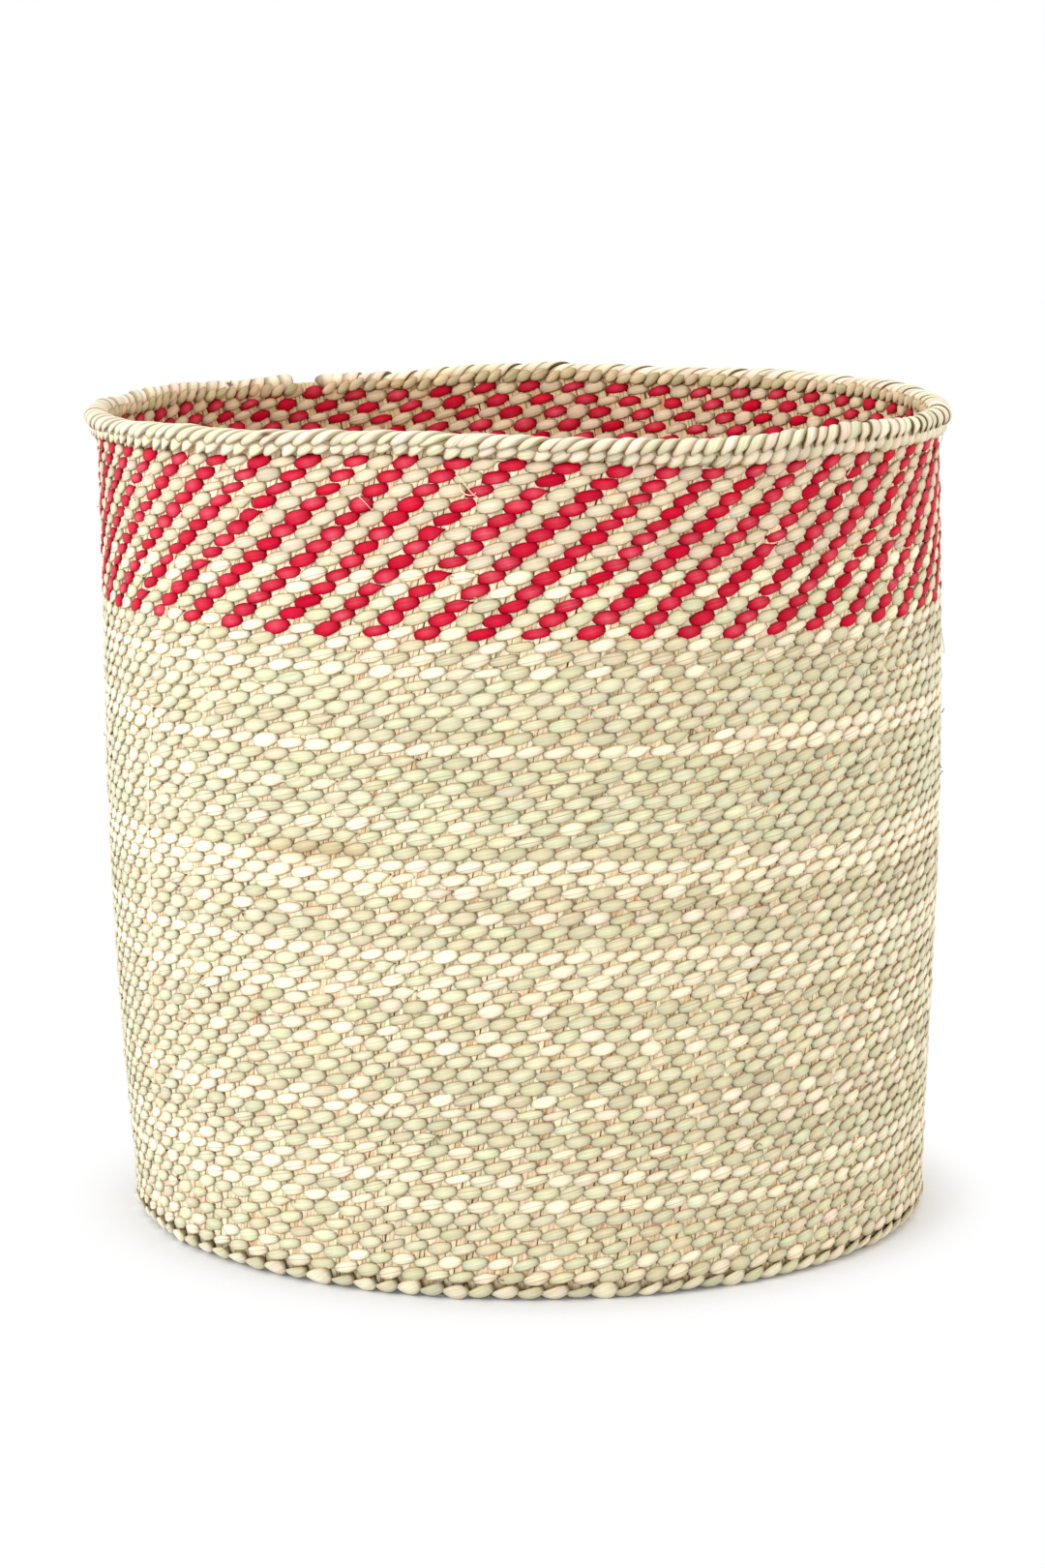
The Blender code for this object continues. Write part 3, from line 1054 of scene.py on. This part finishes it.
def rope_core(strands, middles):
    """The bundle inside the rope, which its strands are folded over."""
    angle = np.linspace(middles[0], middles[-1], core_steps)
    level = np.ones(core_steps)
    centres = around(rope_middle_radius * level, angle, rope_middle_height * level)
    sizes = ((rope_half_height - core_inset) * level, (rope_half_reach - core_inset) * level)
    rings, wide, _ = sweep(centres, upward(centres), *sizes, strands.sides, core_powers)
    tone = np.tile(np.asarray(core_brown), (core_steps * strands.sides, 1))
    strands.add_tube(rings, tone, rim_reach * angle, sizes[0][:, None] * wide[None, :])


def rope_colours(draw, share, wide):
    """Colours of a rope strand: a painted shade line at its raised edge, a painted shadow where the next
    one covers it.
    """
    tone = border_tone(draw)
    inner = smooth((share - rope_tan[0]) / rope_tan[1])[:, None, None]
    tip = ((2 * share - 1) ** 6)[:, None, None]
    shadow = np.clip(rope_shadow * near_edge(wide, 7) + rope_shadow * tip, 0, 1)
    raised, covered = (
        strength * smooth((place - start) / fade)
        for place, (strength, start, fade) in ((-wide, rope_line), (wide, rope_cover))
    )
    line = np.where(wide < 0, raised, covered)[None, :, None]
    for weight, tint in ((shadow, crevice), (line, border_line), (inner, khaki)):
        tone = tinted(tone, weight, tint)
    return tone


def rope_strand(strands, pitch, middle, quiet):
    """One broad strand, from its tip outside over the rim to its end inside."""
    draw = strands.random
    across = np.array(rope_across)
    share = np.linspace(0, 1, rope_steps)
    outside_end = rope_outside_end + draw.normal(0, rope_outside_spread)
    inside_end = rope_inside_end + draw.normal(0, rope_inside_spread)
    fold = outside_end + (inside_end - outside_end) * share
    skew = rope_skew * pitch * draw.normal(1, rope_skew_spread) * (join_skew + (1 - join_skew) * quiet)
    bend = np.sin(np.pi * share) ** rope_bend_power
    rounding = np.sqrt(smooth(share / rope_round) * smooth((1 - share) / rope_round))
    half_width = (rope_tip + rope_body * rounding) * pitch * draw.normal(1, rope_width_spread)
    lift = draw.normal(0, rope_lift_spread)
    over = fold - np.pi / 2
    angle = middle + skew * (over + rope_swirl * np.sin(2 * over))
    grid = angle[:, None] + half_width[:, None] * across[None, :]
    fold = fold[:, None] + rope_cut * ((1 - share) ** 3)[:, None] * across[None, :]
    top = rope_crown * (1 - across ** 2) - rope_tilt * across + lift
    faces = []
    for shell in (top + rope_swell * (1 - across ** 6), np.full(len(across), -rope_inner_depth)):
        reach_r = rope_half_reach + shell[None, :] * bend[:, None]
        reach_z = rope_half_height + shell[None, :] * bend[:, None]
        radius = rope_middle_radius + reach_r * np.cos(fold)
        height = rope_middle_height + reach_z * np.sin(fold)
        faces.append(around(radius, grid, height))
    rings = np.concatenate([faces[0], faces[1][:, ::-1]], axis=1)[:, ::-1]
    wide = np.concatenate([across, across[::-1]])[::-1]
    colours = rope_colours(draw, share, wide)
    strands.add_tube(rings, colours, share * rope_length, rope_half_width * wide[None, :])


def rope_piece(name, seed, material):
    """The rope along the rim: broad strands folded over it, each over the one before it."""
    strands = Strands(seed, 2 * len(rope_across))
    pitch, middles, calm = border_places(strands.random)
    rope_core(strands, middles)
    for middle, quiet in zip(middles, calm):
        rope_strand(strands, pitch, middle, quiet)
    return strands.build(name, material)


def border_end(strands, centres, widths, half_thickness, tone, edge, tips):
    """A short strand end under the rope, with painted shade along its edges and towards its tips."""
    rings, wide, _ = sweep(centres, upward(centres), widths, half_thickness, strands.sides)
    strength, power = edge
    shadow = np.clip(strength * near_edge(wide, power) + tips[:, None, None], 0, 1)
    along = row_length * np.linspace(-1, 1, len(centres))
    strands.add_tube(rings, tinted(tone, shadow, crevice), along, widths[:, None] * wide[None, :])


def row_piece(name, seed, inside, material):
    """The row of strand ends under the rope, outside or inside."""
    strands = Strands(seed)
    draw = strands.random
    pitch, middles, _ = border_places(draw)
    half_length, tilt, half_width, centre = row_inside if inside else row_outside
    share = np.linspace(-1, 1, row_steps)
    bow = np.cos(share * np.pi / 2)
    for index, middle in enumerate(middles):
        slant = tilt + draw.normal(0, row_slant_spread)
        run = half_length * share * draw.normal(1, row_length_spread)
        height = centre + run * math.sin(slant) + draw.normal(0, row_height_spread)
        ahead = run * math.cos(slant) / wall_crest
        if inside:
            angle = middle - ahead
            radius = profile_point(run_at_height(height))[0] - row_inside_depth
            radius = radius - row_inside_crown * bow ** row_inside_power
        else:
            angle = middle + ahead
            radius = row_reach - row_depth + row_crown * bow ** row_power
            radius = radius + row_outward * (height - centre)
        widths = half_width * (row_end_width + (1 - row_end_width) * bow ** row_width_power)
        widths = widths * draw.normal(1, row_width_spread)
        tone = border_tone(draw)
        if inside:
            tone = tone * row_inside_tints[index % 2]
        tips = row_tip_shadow * (1 - bow ** row_tip_power)
        border_end(strands, around(radius, angle, height), widths, row_half_thickness, tone, row_edge, tips)
        if not inside:
            tuck_tube(strands, middle + pitch / 2 * draw.normal(1, tuck_place_spread), tone)
    return strands.build(name, material)


def tuck_tube(strands, middle, tone):
    """The short end that shows between two strands of the row, under the rope."""
    draw = strands.random
    share = np.linspace(-1, 1, tuck_steps)
    bow = np.cos(share * np.pi / 2)
    slant = tuck_tilt + draw.normal(0, tuck_slant_spread)
    run = tuck_half_length * share
    height = tuck_height + run * math.sin(slant) + draw.normal(0, tuck_height_spread)
    radius = row_reach - tuck_depth + tuck_crown * bow
    centres = around(radius, middle - run * math.cos(slant) / wall_crest, height)
    widths = tuck_half_width * (1 + bow) / 2 * draw.normal(1, row_width_spread)
    tips = tuck_tip_shadow * (1 - bow)
    border_end(strands, centres, widths, tuck_half_thickness, tone * tuck_shade, tuck_edge, tips)


def math_node(nodes, links, operation, first, second):
    """A math node on two values, each a number or another node's output."""
    node = nodes.new("ShaderNodeMath")
    node.operation = operation
    for socket, value in zip(node.inputs, (first, second)):
        if isinstance(value, (int, float)):
            socket.default_value = value
        else:
            links.new(value, socket)
    return node.outputs[0]


def rib_mask(nodes, links, fibre):
    """Where the midrib shows: a thin line along some of the strands."""
    parts = nodes.new("ShaderNodeSeparateXYZ")
    links.new(fibre, parts.inputs[0])
    across, pick = parts.outputs["Y"], parts.outputs["Z"]
    shown = math_node(nodes, links, "LESS_THAN", pick, rib_share)
    place = math_node(nodes, links, "MULTIPLY", pick, 2 * rib_reach / rib_share)
    place = math_node(nodes, links, "SUBTRACT", place, rib_reach)
    distance = math_node(nodes, links, "SUBTRACT", across, place)
    distance = math_node(nodes, links, "ABSOLUTE", distance, 0)
    distance = math_node(nodes, links, "DIVIDE", distance, rib_half_width)
    line = math_node(nodes, links, "SUBTRACT", 1, distance)
    line = math_node(nodes, links, "MAXIMUM", line, 0)
    return math_node(nodes, links, "MULTIPLY", line, shown)


def new_material(name):
    """A material with its nodes and links."""
    material = bpy.data.materials.new(name)
    material.use_nodes = True
    return material, material.node_tree.nodes, material.node_tree.links


def set_values(node, values):
    """The constant values of a node's own sockets, by their names."""
    for socket, value in values.items():
        node.inputs[socket].default_value = value


def streak_noise(nodes, links, fibre):
    """Fine noise, drawn out along the strand."""
    scale = nodes.new("ShaderNodeVectorMath")
    scale.operation = "MULTIPLY"
    scale.inputs[1].default_value = streak_scale
    links.new(fibre, scale.inputs[0])
    streak = nodes.new("ShaderNodeTexNoise")
    set_values(streak, {"Scale": 1, "Detail": 2})
    links.new(scale.outputs[0], streak.inputs["Vector"])
    return streak.outputs["Fac"]


def streaked_colour(nodes, links, colour, streak):
    """The strand's colour, darker and lighter along its streaks."""
    tone = nodes.new("ShaderNodeMapRange")
    set_values(tone, streak_range)
    links.new(streak, tone.inputs["Value"])
    mix = nodes.new("ShaderNodeVectorMath")
    mix.operation = "SCALE"
    links.new(colour, mix.inputs[0])
    links.new(tone.outputs["Result"], mix.inputs["Scale"])
    return mix.outputs[0]


def grass_material(name):
    """Dried grass: the strand's own colour with fine fibre streaks along it."""
    material, nodes, links = new_material(name)
    shader = nodes["Principled BSDF"]
    set_values(shader, grass_finishes[name])
    set_values(shader, {"Sheen Roughness": sheen_roughness})
    colour = nodes.new("ShaderNodeAttribute")
    colour.attribute_name = "strand_colour"
    fibre = nodes.new("ShaderNodeAttribute")
    fibre.attribute_name = "fibre"
    streak = streak_noise(nodes, links, fibre.outputs["Vector"])
    rib = rib_mask(nodes, links, fibre.outputs["Vector"])
    ribbed = nodes.new("ShaderNodeMix")
    ribbed.data_type = "RGBA"
    ribbed.blend_type = "MULTIPLY"
    links.new(rib, ribbed.inputs["Factor"])
    links.new(streaked_colour(nodes, links, colour.outputs["Color"], streak), ribbed.inputs["A"])
    ribbed.inputs["B"].default_value = (*rib_tint, 1)
    links.new(ribbed.outputs["Result"], shader.inputs["Base Color"])
    bump = nodes.new("ShaderNodeBump")
    set_values(bump, {"Strength": bump_strength, "Distance": bump_distance})
    links.new(streak, bump.inputs["Height"])
    links.new(bump.outputs["Normal"], shader.inputs["Normal"])
    return material


def add_wall():
    """The stakes and the weft of the wall, in pieces that follow the frame's bands."""
    natural = grass_material("natural_grass")
    striped = grass_material("striped_grass")
    stems = grass_material("stem_grass")
    bands = (
        ("lower", 1, middle_first, natural, "natural_weft"),
        ("middle", middle_first, upper_first, natural, "natural_weft"),
        ("upper", upper_first, natural_count, natural, "natural_weft"),
        ("striped", natural_count, course_count, striped, "striped_weft"),
    )
    for order, (band, first, last, material, slot) in enumerate(bands):
        share = (last - first) / band_parts
        for part in range(band_parts):
            seed = 10 * order + part
            piece = wall_weft(f"{band}_weft_{part + 1}", seed, first + part * share, share, material)
            place(piece, slot, f"{band}_weft_outside", f"{band}_weft_inside")
    for part in range(stake_parts):
        start = part * stake_count // stake_parts
        end = (part + 1) * stake_count // stake_parts
        place(stem_piece(f"wall_stakes_{part + 1}", 50 + part, start, end, stems), "stakes", "stakes")
    place(base_stem_piece("base_stakes", 60, stems), "stakes", "stakes")
    place(fibre_piece("loose_fibres", 61, stems), "natural_weft")
    for part in range(base_parts):
        shares = (part / base_parts, (part + 1) / base_parts)
        piece = base_weft(f"base_weft_{part + 1}", 70 + part, *shares, natural)
        place(piece, "natural_weft", "base_weft_under", "base_weft_inside")
    place(ridge_piece("edge_ridge", 80, natural), "natural_weft", "edge_ridge_weft")
    place(wall_weft("edge_course", 81, 0, 1, natural), "natural_weft", "edge_ridge_weft")


def place(piece, slot, *nodes):
    """The piece rides on the basket and stands for these nodes; the slot is not used."""
    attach(piece, "root")
    if nodes:
        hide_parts(*nodes)


def add_border():
    """The rope along the rim and the rows under it."""
    border = grass_material("border_grass")
    place(rope_piece("border_rope_strands", 90, border), "border", "border_rope")
    place(row_piece("border_row_strands_outside", 91, False, border), "border", "border_row_outside")
    place(row_piece("border_row_strands_inside", 92, True, border), "border", "border_row_inside")


def add_camera():
    """The camera, at the photo's place."""
    camera = bpy.data.cameras.new("camera")
    camera.lens = camera_lens
    camera.sensor_width = sensor_size
    camera.clip_end = camera_range
    seat = bpy.data.objects.new("camera", camera)
    bpy.context.scene.collection.objects.link(seat)
    seat.location = camera_place
    seat.rotation_euler = (math.pi / 2 - camera_tilt, 0, 0)
    bpy.context.scene.camera = seat


def add_world():
    """Even soft light from all round, which the camera itself sees as white."""
    world = bpy.data.worlds.new("studio")
    world.use_nodes = True
    bpy.context.scene.world = world
    nodes = world.node_tree.nodes
    links = world.node_tree.links
    nodes.clear()
    output = nodes.new("ShaderNodeOutputWorld")
    path = nodes.new("ShaderNodeLightPath")
    mix = nodes.new("ShaderNodeMixShader")
    for socket, strength in enumerate((world_light, 1.0), 1):
        background = nodes.new("ShaderNodeBackground")
        set_values(background, {"Color": (1, 1, 1, 1), "Strength": strength})
        links.new(background.outputs[0], mix.inputs[socket])
    links.new(path.outputs["Is Camera Ray"], mix.inputs["Fac"])
    links.new(mix.outputs[0], output.inputs["Surface"])


def floor_material():
    """A pale floor that the camera sees as white, except close round the basket, in its shadow."""
    material, nodes, links = new_material("pale_floor")
    shader = nodes["Principled BSDF"]
    set_values(shader, {"Base Color": (*floor_colour, 1), "Roughness": floor_roughness})
    glow = nodes.new("ShaderNodeEmission")
    set_values(glow, {"Strength": 1.0})
    path = nodes.new("ShaderNodeLightPath")
    geometry = nodes.new("ShaderNodeNewGeometry")
    distance = nodes.new("ShaderNodeVectorMath")
    distance.operation = "LENGTH"
    links.new(geometry.outputs["Position"], distance.inputs[0])
    grow = nodes.new("ShaderNodeMapRange")
    grow.interpolation_type = "SMOOTHSTEP"
    set_values(grow, glow_range)
    links.new(distance.outputs["Value"], grow.inputs["Value"])
    share = math_node(nodes, links, "MULTIPLY", path.outputs["Is Camera Ray"], grow.outputs["Result"])
    mix = nodes.new("ShaderNodeMixShader")
    links.new(share, mix.inputs["Fac"])
    links.new(shader.outputs[0], mix.inputs[1])
    links.new(glow.outputs[0], mix.inputs[2])
    links.new(mix.outputs[0], nodes["Material Output"].inputs["Surface"])
    return material


def add_setting():
    """Camera at the photo's place, soft light and a pale floor."""
    add_camera()
    add_world()
    for lamp in lamps:
        add_lamp(*lamp)
    bpy.ops.mesh.primitive_plane_add(size=floor_size)
    floor = bpy.context.object
    floor.name = "floor"
    floor.data.materials.append(floor_material())


def add_lamp(name, place, size, power, colour):
    """A square soft lamp aimed at the middle of the basket."""
    lamp = bpy.data.lights.new(name, "AREA")
    lamp.size = size
    lamp.energy = power
    lamp.color = colour
    holder = bpy.data.objects.new(name, lamp)
    bpy.context.scene.collection.objects.link(holder)
    holder.location = place
    aim = np.array([0, 0, rim_height / 2]) - np.array(place)
    flat = math.hypot(aim[0], aim[1])
    holder.rotation_euler = (math.pi / 2 + math.atan2(aim[2], flat), 0, math.atan2(-aim[0], aim[1]))


add_wall()
add_border()
add_setting()
scene = bpy.context.scene
scene.view_settings.view_transform = "Standard"
